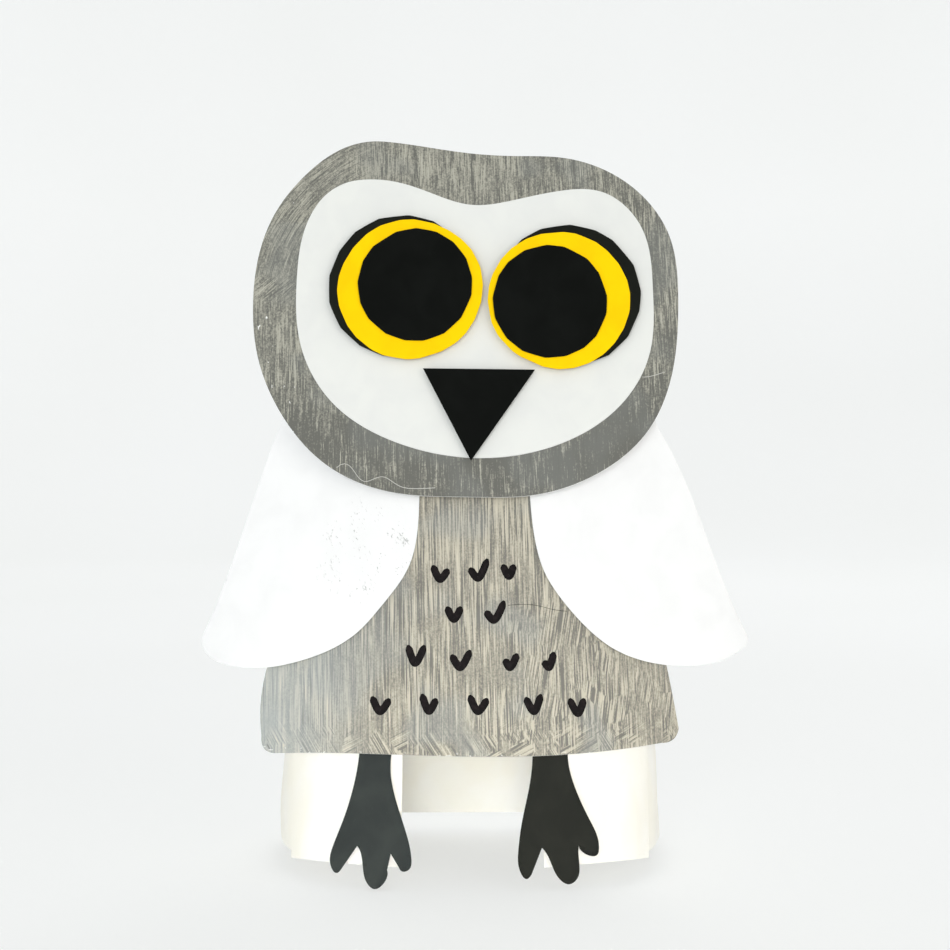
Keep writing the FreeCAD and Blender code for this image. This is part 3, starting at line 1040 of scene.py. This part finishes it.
@dataclass
class PaperBag:
    """The folded bag: back, top, gussets, front panel and throat.

    A pair of heights, or of distances from the middle, is where something starts and where it ends.
    """

    finishes: Finishes
    cell: float = 0.005
    paper: float = 0.0003
    fold_angle: float = 40.0
    rim_zone: Span = (0.01, 0.08)
    leg_zone: Span = (0.036, 0.05)
    leg_wrinkle: float = 0.0009
    corner_start: float = 0.0455
    corner_curve: float = 52.0
    half_back: float = 0.057
    seam_edge: float = 0.0405
    seam_ramp: float = 0.0004
    seam_step: float = 0.00016
    buckle: float = 0.0011
    wrinkle: float = 0.0008
    top_drop: float = 0.0022
    flap_slope: float = 0.27
    gusset_rows: int = 62
    gusset_columns: int = 26
    bulge: float = 0.0066
    bulge_zone: Span = (0.03, 0.1)
    crease_depth: float = 0.0285
    crease_zone: Span = (0.012, 0.175)
    crease_sharp: Span = (0.035, 0.1)
    strip_width: float = 0.104
    strip_top: float = 0.183
    strip_fall: float = 0.0378
    web_edge: float = 0.0568
    web_low: float = 0.1465
    web_height: float = 0.066
    throat_blend: Span = (0.4 * MM, 4.0 * MM)
    front_edge: dict[int, list[Span]] = field(default_factory=dict)

    def build(self) -> None:
        """Builds and dresses the whole bag."""
        self.build_front()
        self.build_back()
        self.build_top()
        for name, side in (("left", -1), ("right", 1)):
            self.build_gusset(name, side)
            self.build_web(name, side)
        self.build_strip()
        dress(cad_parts["seam_lap"], self.finishes.paper)

    def settle(self, piece: bpy.types.Object, mover: Mover, body: Body, node: str) -> None:
        """Shapes, smooths and dresses a panel of the bag and puts it on its body.

        Args:
            piece: the panel.
            mover: how it is shaped.
            body: the body that it rides on.
            node: the CAD node that it stands for.
        """
        shape(piece, mover)
        soften(piece)
        dress(piece, self.finishes.paper)
        finish_piece(piece, body, Slot.PAPER, node)

    def build_front(self) -> None:
        """The front panel, with soft wrinkles near its rim and the cut-out between the legs."""
        piece = copy_node("front_panel", "bag_front")
        slice_cells(piece, self.cell)

        def mover(point: Vector) -> Vector:
            """Rounds the legs' outer edges back and wrinkles them, more towards the rim.

            Args:
                point: where it is.

            Returns:
                Where it goes.
            """
            near_rim = 1 - smoothstep(point.z, *self.rim_zone)
            legs = smoothstep(abs(point.x), *self.leg_zone)
            dent = 0.5 + 0.5 * ripple(point, 0.017, 9.4)
            corner = max(0.0, abs(point.x) - self.corner_start) ** 2 * self.corner_curve
            return front_wave(point) - OUT * near_rim * (dent * legs * self.leg_wrinkle + corner)

        self.settle(piece, mover, Body.FRONT, "front_panel")
        half = max(vertex.co.x for vertex in piece.data.vertices)
        for side in (-1, 1):
            edge = {(round(vertex.co.z, 4), vertex.co.y) for vertex in piece.data.vertices
                    if vertex.co.x * side > half - 0.1 * MM}
            self.front_edge[side] = sorted(edge)

    def build_back(self) -> None:
        """The back panel, with the glued seam's step and shallow buckles."""
        piece = copy_node("back_panel", "bag_back")
        slice_cells(piece, self.cell)
        with editing(piece):
            for offset in (0.0, self.seam_ramp):
                cut((self.seam_edge + offset, 0, 0), ACROSS)

        def mover(point: Vector) -> Vector:
            """Buckles the panel inwards and steps it at the seam.

            Args:
                point: where it is.

            Returns:
                Where it goes.
            """
            edge = smoothstep(self.half_back - abs(point.x), 0.0, 0.016)
            buckle = 0.5 + 0.5 * ripple(point, 0.045, 2.2)
            wrinkle = max(0.0, ripple(point, 0.02, 7.7)) ** 2
            ramp = smoothstep(point.x, self.seam_edge + self.seam_ramp, self.seam_edge)
            step = self.seam_step * ramp
            inwards = edge * (self.buckle * buckle + self.wrinkle * wrinkle)
            return point + BACKWARD * (step * edge - inwards)

        self.settle(piece, mover, Body.BACK, "back_panel")

    def build_top(self) -> None:
        """The rounded top, softly dented and lowered a little."""
        piece = copy_node("top_fold", "bag_top")
        with editing(piece):
            low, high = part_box("top_fold")
            count = int((high.x - low.x) / self.cell)
            for index in range(1, count):
                cut((low.x + (high.x - low.x) * index / count, 0, 0), ACROSS)

        def mover(point: Vector) -> Vector:
            """Dents and lowers the top, and keeps its back edge in place.

            Args:
                point: where it is.

            Returns:
                Where it goes.
            """
            held = (smoothstep(point.z, low.z, low.z + 0.006)
                    * smoothstep(point.y, low.y, low.y + 0.004))
            dent = -abs(noise.noise(Vector((point.x / 0.02, point.y / 0.02, 4.4))))
            near = (high.y - point.y) / (high.y - low.y)
            lowered = (UPWARD + BACKWARD * near * self.flap_slope) * self.lowered(point.z)
            return point + Vector((0, -0.3, 1)) * dent * held * 0.7 * MM - lowered

        self.settle(piece, mover, Body.BACK, "top_fold")
        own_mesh(piece)

    def lowered(self, height: float) -> float:
        """How far the bag's top is lowered at a height, so that the opened head clears it."""
        low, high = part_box("top_fold")
        return self.top_drop * min(max((height - low.z) / (high.z - low.z), 0.0), 1.0)

    def edge_depth(self, side: int, height: float) -> float:
        """How far back one front edge of the bag is, carried on above the panel to the flap's fold.

        Args:
            side: -1 or 1.
            height: the height.

        Returns:
            The edge's Y at that height.
        """
        edge = self.front_edge[side]
        if height <= edge[0][0]:
            return edge[0][1]
        for (low, near), (high, far) in zip(edge, edge[1:]):
            if low <= height <= high:
                return near + (far - near) * (height - low) / max(high - low, 1e-6)
        top, last = edge[-1]
        fold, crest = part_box("top_fold")
        return last + (fold.y - last) * (height - top) / (crest.z - top)

    def build_gusset(self, name: str, side: int) -> None:
        """A gusset: rounded out at the rim and folded inwards higher up, with a worn centre crease.

        Args:
            name: left or right.
            side: -1 or 1.
        """
        piece = new_sheet(f"bag_gusset_{name}", self.gusset_columns, self.gusset_rows)
        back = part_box("back_panel")[1].y - self.paper
        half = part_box("back_panel")[1].x - 0.1 * MM
        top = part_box("top_fold")[1].z - 2 * self.paper

        def mover(point: Vector) -> Vector:
            """Lays the grid out as the gusset.

            Args:
                point: where it is.

            Returns:
                Where it goes.
            """
            share, height = point.x + 0.5, (point.y + 0.5) * top
            front, drop = self.edge_depth(side, height), self.lowered(height)
            fold = smoothstep(height, *self.crease_zone)
            inset = self.bulge * (1 - smoothstep(height, *self.bulge_zone)) - self.crease_depth * fold
            tent = 1 - abs(2 * share - 1)
            free = math.sin(math.pi * share)
            profile = free ** 0.9 + (tent - free ** 0.9) * smoothstep(height, *self.crease_sharp)
            flat = Vector((share * 0.055, 0, height))
            crumple = 0.8 * ripple(flat, 0.016, 3.3 + side) + 1.3 * ripple(flat, 0.038, 8.1 + side)
            across = half + inset * profile + crumple * free * MM
            near = front - self.flap_slope * drop * (1 - share)
            return Vector((side * across, near + (back - front) * share, height - drop))

        shape(piece, mover)
        with editing(piece):
            bpy.ops.mesh.normals_make_consistent(inside=False)
        modify(piece, "SOLIDIFY", thickness=self.paper, offset=0.0)
        soften(piece, self.fold_angle)
        dress(piece, self.finishes.paper)
        finish_piece(piece, Body.BACK, Slot.PAPER, f"gusset_{name}")
        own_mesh(piece)

    def throat_grid(self, name: str, columns: int, rows: int,
                    surface: Callable[[float, float], Vector]) -> bpy.types.Object:
        """A throat piece in the front's own frame, bending from the front to the head.

        Args:
            name: the piece's name.
            columns: its divisions across.
            rows: its divisions up.
            surface: across, up and out of the front for shares from 0 to 1.

        Returns:
            The finished sheet.
        """
        piece = new_sheet(name, columns, rows)

        def mover(point: Vector) -> Vector:
            """Places one grid point on the bag."""
            across, up, out = surface(point.x + 0.5, point.y + 0.5)
            return RIM_FRONT + ACROSS * across + UP_SLOPE * up + OUT * out

        shape(piece, mover)
        modify(piece, "SOLIDIFY", thickness=self.paper, offset=0.0)
        soften(piece, self.fold_angle)
        dress(piece, self.finishes.paper)
        return piece

    def hang_throat(self, piece: bpy.types.Object, node: str) -> None:
        """Hides a throat piece's CAD node and bakes the piece's placement into its mesh.

        Args:
            piece: the throat piece.
            node: the CAD node that it stands for.
        """
        near, far = self.throat_blend
        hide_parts(node)
        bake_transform(piece)
        LOG.info("%s: %d faces", piece.name, len(piece.data.polygons))

    def build_strip(self) -> None:
        """The strip that joins the front's top edge to the flap's lower edge."""
        def surface(share: float, up: float) -> Vector:
            """A strip that leans out from the front to the flap."""
            return Vector(((share - 0.5) * self.strip_width, self.strip_top - self.strip_fall * up,
                           (0.5 + 3.4 * up ** 1.3) * MM))

        self.hang_throat(self.throat_grid("throat_strip_sheet", 20, 16, surface), "throat_strip")

    def build_web(self, name: str, side: int) -> None:
        """The small folded web at one side of the throat.

        Args:
            name: left or right.
            side: -1 or 1.
        """
        def surface(share: float, up: float) -> Vector:
            """A V fold that deepens towards the top of the bag.

            Args:
                share: from 0 at the front to 1 at the flap.
                up: from 0 at the web's foot to 1 at its top.

            Returns:
                Across, up and out of the front.
            """
            depth = 0.004 + 0.004 * smoothstep(up, 0.0, 0.55) + 0.014 * smoothstep(up, 0.55, 1.0)
            tent = 1 - abs(2 * share - 1)
            back = -2.6 * (1 - up) * (1 - share) + 0.3
            return Vector((side * (self.web_edge - depth * tent), self.web_low + self.web_height * up,
                           (back + (4.0 - back) * share) * MM))

        self.hang_throat(self.throat_grid(f"throat_web_sheet_{name}", 12, 30, surface),
                         f"throat_web_{name}")


# ---------------------------------------------------------------------------------------------------
# Cards on the front
# ---------------------------------------------------------------------------------------------------


@dataclass(frozen=True)
class Bristle:
    """A stray brush bristle or fibre dried into the paint."""

    name: str
    pale: bool
    path: tuple[Span, ...]
    radius: float = 0.00011

    def build(self, under: bpy.types.Object, body: Body, finishes: Finishes) -> None:
        """Lays the bristle on a painted card.

        Args:
            under: the painted card.
            body: the body that the card rides on.
            finishes: the puppet's finishes.
        """
        piece = lay_stroke(self.path, [self.radius] * len(self.path), self.name, 4)
        lay_on(piece, under, 1.0)
        dress(piece, finishes.bristle if self.pale else finishes.sheen_and_dust_black)
        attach(piece, body.value)
        LOG.info("%s", self.name)


@dataclass(frozen=True)
class InkStroke:
    """One V-shaped feather mark: where its point is and how far each arm reaches from it, in mm."""

    across: float
    up: float
    left: Span
    right: Span


@dataclass
class FrontCards:
    """The body card with its feather marks, the wings and the feet."""

    finishes: Finishes
    cell: float = 0.005
    stroke: float = 0.00118
    stroke_steps: int = 6
    marks: tuple[InkStroke, ...] = (
        InkStroke(-9.6, 88.9, (-2.3, 4.3), (2.5, 3.2)), InkStroke(2.6, 89.2, (-2.6, 3.2), (2.9, 5.9)),
        InkStroke(12.5, 89.9, (-1.9, 3.6), (1.6, 3.6)), InkStroke(-5.1, 76.0, (-2.2, 3.8), (2.2, 3.8)),
        InkStroke(7.6, 75.7, (-2.5, 2.8), (3.2, 5.8)), InkStroke(-17.3, 62.1, (-2.3, 5.4), (2.8, 5.3)),
        InkStroke(-3.1, 60.7, (-2.6, 3.8), (3.1, 5.1)), InkStroke(12.6, 60.8, (-1.5, 2.5), (2.3, 4.1)),
        InkStroke(25.0, 61.0, (-1.6, 1.9), (1.6, 4.5)), InkStroke(-28.2, 47.2, (-2.6, 4.4), (2.8, 3.7)),
        InkStroke(-12.8, 47.1, (-2.2, 5.0), (2.2, 3.7)), InkStroke(2.5, 47.0, (-2.5, 4.7), (2.9, 3.8)),
        InkStroke(20.1, 47.1, (-2.5, 4.1), (2.2, 5.0)), InkStroke(34.0, 46.7, (-2.5, 4.3), (2.0, 4.4)))
    bristle: Bristle = Bristle("body_bristle", False, (
        (12.1, 80.7), (15.5, 81.2), (20.5, 81.2), (24.3, 80.1), (28.1, 79.3), (31.1, 79.2)), 0.00007)

    def build(self) -> None:
        """Builds and dresses every card on the front."""
        body = self.build_card("body_card", "owl_body", self.finishes.body_paint, Slot.BODY_PAINT,
                               self.drape_body)
        self.build_marks(body)
        self.bristle.build(body, Body.FRONT, self.finishes)
        # the feet get black card painted lighter as painted sheen, the left foot more than the right
        for side, wing, foot in (("left", self.finishes.flecked, self.finishes.faded),
                                 ("right", self.finishes.white, self.finishes.sheen_and_dust_black)):
            self.build_card(f"wing_{side}", f"owl_wing_{side}", wing, Slot.WHITE, self.drape_wing)
            self.build_card(f"foot_{side}", f"owl_foot_{side}", foot, Slot.BLACK, self.drape_foot)

    def build_card(self, node: str, name: str, finish: bpy.types.Material, slot: Slot,
                   mover: Mover) -> bpy.types.Object:
        """One card, cut into cells, draped, shaded smooth and dressed.

        Args:
            node: the CAD node that it is cut like.
            name: the piece's name.
            finish: its front's finish.
            slot: its material slot.
            mover: how it is draped.

        Returns:
            The finished piece.
        """
        piece = copy_node(node, name)
        slice_cells(piece, self.cell)
        shape(piece, mover)
        soften(piece)
        painted = slot in (Slot.BODY_PAINT, Slot.HEAD_PAINT)
        dress(piece, finish, self.finishes.white if painted else None)
        finish_piece(piece, Body.FRONT, slot, node)
        return piece

    @staticmethod
    def drape_body(point: Vector) -> Vector:
        """The body card's lower edge waves a little as it stands off the bag.

        Args:
            point: where it is.

        Returns:
            Where it goes.
        """
        low = 1 - smoothstep(point.z, 0.034, 0.075)
        wave = 0.5 + 0.5 * ripple(Vector((point.x, 0, 0)), 0.03, 6.6)
        return front_wave(point) + OUT * low * wave * 0.8 * MM

    @staticmethod
    def drape_wing(point: Vector) -> Vector:
        """A wing's free tip lifts off the body.

        Args:
            point: where it is.

        Returns:
            Where it goes.
        """
        tip = smoothstep(abs(point.x), 0.045, 0.092) * (1 - smoothstep(point.z, 0.07, 0.12))
        wave = 0.6 + 0.4 * ripple(point, 0.04, 3.9)
        low = 1 - smoothstep(point.z, 0.06, 0.1)
        return front_wave(point) + OUT * (2.2 * tip * wave + 0.8 * low) * MM

    @staticmethod
    def drape_foot(point: Vector) -> Vector:
        """The toes lift slightly off the rim."""
        toes = 1 - smoothstep(point.z, -0.006, 0.012)
        return front_wave(point) + OUT * toes * 0.7 * MM

    def build_marks(self, body: bpy.types.Object) -> None:
        """The feather marks: flattened brush strokes that follow the body card.

        Args:
            body: the body card that they lie on.
        """
        strokes = []
        for index, mark in enumerate(self.marks):
            points, radii = [], []
            for step in range(-self.stroke_steps, self.stroke_steps + 1):
                leg = mark.left if step < 0 else mark.right
                share = abs(step) / self.stroke_steps
                points.append((mark.across + leg[0] * 1.04 * share ** 0.75,
                               mark.up + 0.15 + leg[1] * 1.1 * share ** 1.1))
                radii.append(self.stroke * (0.3 if share == 1 else 1.0 + 0.08 * (1 - share)))
            strokes.append(lay_stroke(points, radii, f"feather_{index}", 3))
        select_only(strokes[0])
        for stroke in strokes:
            stroke.select_set(True)
        bpy.ops.object.join()
        piece = strokes[0]
        piece.name = "feather_marks_ink"
        lay_on(piece, body, 0.06)
        dress(piece, self.finishes.ink)
        finish_piece(piece, Body.FRONT, Slot.INK, "feather_marks")


# ---------------------------------------------------------------------------------------------------
# The head
# ---------------------------------------------------------------------------------------------------


@dataclass(frozen=True)
class Disc:
    """How one hand-cut disc differs from a true circle: its wobble, its flats and its two widths."""

    node: str
    name: str
    slot: Slot
    wobble: float
    facets: int
    seed: float
    wide: float
    tall: float

    def corner(self, index: int) -> float:
        """The direction of one corner of its outline, in radians."""
        uneven = 0.34 * noise.noise(Vector((index % self.facets * 3.7, self.seed, 0.5)))
        return (index + uneven + 0.1 * self.seed) * math.tau / self.facets

    def trim(self, angle: float) -> float:
        """How far out the scissors cut at an angle.

        Args:
            angle: the direction, in radians.

        Returns:
            The cut's distance from the middle as a share of the radius.
        """
        ring = Vector((math.cos(angle) * 1.2, math.sin(angle) * 1.2, self.seed))
        scale = 1 + self.wobble * noise.noise(ring) / 20
        for index in range(self.facets):
            start, end = self.corner(index), self.corner(index + 1)
            if index + 1 == self.facets:
                end = self.corner(0) + math.tau
            place = (angle - start) % math.tau
            width = end - start
            if place <= width:
                flat = math.cos(width / 2) / math.cos(place - width / 2)
                return scale * (1 + 0.8 * (flat - 1)) * 1.004
        return scale


@dataclass
class OwlHead:
    """The bag's flap with the head card, face, eyes and beak on it, all bowed alike."""

    finishes: Finishes
    cell: float = 0.006
    reach: Span = (0.072, 0.062)
    middle: Vector = field(default_factory=lambda: sum(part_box("head_card"), Vector()) / 2)
    bristles: tuple[Bristle, ...] = (
        Bristle("head_bristle_wavy", True, (
            (-43.4, 125.3), (-40.1, 128.4), (-36.8, 122.0), (-33.6, 119.6), (-28.2, 123.8),
            (-23.4, 118.4), (-18.8, 118.0), (-11.3, 118.5))),
        Bristle("head_bristle_short", True, (
            (56.9, 156.4), (59.4, 156.2), (61.8, 157.3), (64.5, 158.2))))

    def build(self) -> None:
        """Builds and dresses the head."""
        self.build_sheet("base_flap", "bag_flap", self.finishes.paper, Slot.PAPER)
        card = self.build_sheet("head_card", "owl_head", self.finishes.head_paint, Slot.HEAD_PAINT,
                                self.finishes.white)
        for bristle in self.bristles:
            bristle.build(card, Body.HEAD, self.finishes)
        self.build_sheet("face_card", "owl_face", self.finishes.face, Slot.WHITE, self.finishes.white)
        for side, seed in (("left", 0.0), ("right", 31.0)):
            layers = (
                (Disc(f"eye_rim_{side}", f"eye_rim_disc_{side}", Slot.BLACK, 0.35, 17, seed + 1,
                      0.985, 1.022), self.finishes.rim_black),
                (Disc(f"iris_{side}", f"iris_disc_{side}", Slot.YELLOW, 0.5, 26, seed + 2,
                      0.993, 1.02), self.finishes.yellow),
                (Disc(f"pupil_{side}", f"pupil_disc_{side}", Slot.BLACK, 0.25, 17, seed + 3,
                      0.994, 1.047), self.finishes.black))
            for disc, finish in layers:
                self.build_disc(disc, finish)
            self.build_sheet(f"eye_pad_{side}", f"eye_foam_{side}", self.finishes.foam, Slot.FOAM)
        self.build_sheet("beak", "owl_beak", self.finishes.black, Slot.BLACK)
        self.build_sheet("beak_pad", "beak_foam", self.finishes.foam, Slot.FOAM)

    def bow(self, point: Vector) -> Vector:
        """The bow and unevenness that every layer of the head shares.

        Args:
            point: where it is.

        Returns:
            Where it goes.
        """
        across = (point.x - self.middle.x) / self.reach[0]
        up = (point.z - self.middle.z) / self.reach[1]
        back = 0.6 * across ** 2 + 0.3 * up ** 2
        uneven = 0.4 * ripple(point, 0.07, 12.3) + 0.12 * ripple(point, 0.03, 15.1)
        return point + OUT * (uneven - back) * MM

    def build_sheet(self, node: str, name: str, finish: bpy.types.Material, slot: Slot,
                    rest: bpy.types.Material | None = None) -> bpy.types.Object:
        """One flat layer of the head.

        Args:
            node: the CAD node that it is cut like.
            name: the piece's name.
            finish: its finish.
            slot: its material slot.
            rest: the finish of its back and cut edges, where that differs.

        Returns:
            The finished piece.
        """
        piece = copy_node(node, name)
        slice_cells(piece, self.cell)
        shape(piece, self.bow)
        soften(piece)
        dress(piece, finish, rest)
        finish_piece(piece, Body.HEAD, slot, node)
        return piece

    def build_disc(self, disc: Disc, finish: bpy.types.Material) -> None:
        """One disc of an eye, with the flats and wobbles that scissors leave.

        Args:
            disc: how it differs from a circle.
            finish: its finish.
        """
        piece = copy_node(disc.node, disc.name)
        low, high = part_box(disc.node)
        centre = (low + high) / 2
        slice_cells(piece, self.cell)

        def mover(point: Vector) -> Vector:
            """Trims the rim unevenly, then bows the disc with the head.

            Args:
                point: where it is.

            Returns:
                Where it goes.
            """
            across, up = (point - centre).dot(ACROSS), (point - centre).dot(UP_SLOPE)
            scale = disc.trim(math.atan2(up, across))
            wider, taller = scale * disc.wide - 1, scale * disc.tall - 1
            return self.bow(point + ACROSS * across * wider + UP_SLOPE * up * taller)

        shape(piece, mover)
        soften(piece)
        dress(piece, finish)
        finish_piece(piece, Body.HEAD, disc.slot, disc.node)


# ---------------------------------------------------------------------------------------------------
# The studio
# ---------------------------------------------------------------------------------------------------


@dataclass(frozen=True)
class Lamp:
    """A soft area lamp, with its beam's spread in degrees and the height that it is aimed at."""

    name: str
    place: Point
    size: float
    power: float
    colour: Colour
    spread: float = 180.0
    aim: float = 0.12


@dataclass(frozen=True)
class Studio:
    """A pale round cove that glows softly, lamps and the camera."""

    floor_gap: float = 0.0003
    floor_radius: float = 1.5
    sweep: float = 0.6
    sweep_steps: int = 10
    inset: float = 0.3
    wall: float = 0.9
    glow: float = 1.0
    lens: float = 51.6
    camera_place: Point = (0.0016, -0.449, 0.1197)
    sky: float = 0.5
    lamps: tuple[Lamp, ...] = (
        Lamp("window_lamp", (-0.24, -1.15, 0.2), 0.4, 4.0, (0.95, 0.98, 1.0)),
        Lamp("warm_lamp", (0.75, -0.85, 0.28), 0.7, 1.8, (1.0, 0.9, 0.78)),
        Lamp("floor_lamp", (0.0, -0.62, 0.05), 0.12, 0.02, (1.0, 0.99, 0.95), 18.0, -0.012),
        Lamp("back_lamp", (0.4, 1.1, 1.2), 0.9, 3.0, (1.0, 1.0, 1.0)))

    def build(self) -> None:
        """Builds the cove, the lamps, the sky and the camera."""
        self.build_cove()
        self.build_sky()
        for lamp in self.lamps:
            self.build_lamp(lamp)
        self.build_camera()

    def build_cove(self) -> None:
        """A round floor whose edge is drawn out and up, step by step, into a sweep and a wall."""
        bpy.ops.object.select_all(action="DESELECT")
        floor = CAD_BOX[0][2] - self.floor_gap
        bpy.ops.mesh.primitive_circle_add(vertices=96, radius=self.floor_radius, fill_type="NGON",
                                          location=(0, 0, floor))
        cove = bpy.context.object
        cove.name = "studio_cove"
        bpy.ops.object.transform_apply(location=True)
        angles = [math.pi / 2 * step / self.sweep_steps for step in range(self.sweep_steps + 1)]
        rise = [(self.sweep * math.sin(angle), self.sweep * (1 - math.cos(angle)))
                for angle in angles]
        rise.append((self.sweep, self.sweep + self.wall))
        with editing(cove):
            bpy.ops.mesh.inset(thickness=self.inset)
            bpy.ops.mesh.select_all(action="SELECT")
            bpy.ops.mesh.region_to_loop()
            for (out, up), (further, higher) in zip(rise, rise[1:]):
                grow = (self.floor_radius + further) / (self.floor_radius + out)
                bpy.ops.mesh.extrude_region_move(
                    TRANSFORM_OT_translate={"value": (0, 0, higher - up)})
                bpy.ops.transform.resize(value=(grow, grow, 1), center_override=(0, 0, 0))
        soften(cove, 60)
        shader = Shader("studio_paper")
        cloud = shader.grain(shader.stretched(shader.place(), (400, 400, 400)), detail=1.0)
        colour = shader.mix(cloud, srgb(189, 190, 190), srgb(186, 187, 186))
        dress(cove, shader.finish(colour, 0.9, specular=0.1, glow=self.glow))

    def build_sky(self) -> None:
        """Even light from above the cove."""
        world = bpy.data.worlds.new("studio_sky")
        world.use_nodes = True
        back = world.node_tree.nodes["Background"]
        back.inputs["Color"].default_value = (0.97, 0.99, 1.0, 1)
        back.inputs["Strength"].default_value = self.sky
        bpy.context.scene.world = world

    def build_lamp(self, lamp: Lamp) -> None:
        """One area lamp aimed at the puppet.

        Args:
            lamp: its place, size, power, colour and beam.
        """
        light = bpy.data.lights.new(lamp.name, "AREA")
        light.size = lamp.size
        light.energy = lamp.power
        light.color = lamp.colour
        light.spread = math.radians(lamp.spread)
        holder = bpy.data.objects.new(lamp.name, light)
        holder.location = lamp.place
        aim = Vector((0, 0, lamp.aim)) - Vector(lamp.place)
        holder.rotation_euler = aim.to_track_quat("-Z", "Y").to_euler()
        holder.visible_camera = False
        bpy.context.scene.collection.objects.link(holder)

    def build_camera(self) -> None:
        """The camera, level and straight in front of the puppet."""
        camera = bpy.data.cameras.new("camera")
        camera.lens = self.lens
        camera.sensor_width = 36.0
        camera.clip_start = 0.01
        holder = bpy.data.objects.new("camera", camera)
        holder.location = self.camera_place
        holder.rotation_euler = (math.pi / 2, 0, 0)
        bpy.context.scene.collection.objects.link(holder)
        bpy.context.scene.camera = holder
        bpy.context.scene.view_settings.view_transform = "Standard"


def main() -> None:
    """Builds the puppet and the studio in order."""
    logging.basicConfig(level=logging.INFO, format="%(name)s: %(message)s")
    Studio().build()
    finishes = Finishes()
    PaperBag(finishes).build()
    FrontCards(finishes).build()
    OwlHead(finishes).build()


if __name__ == "__main__":
    main()
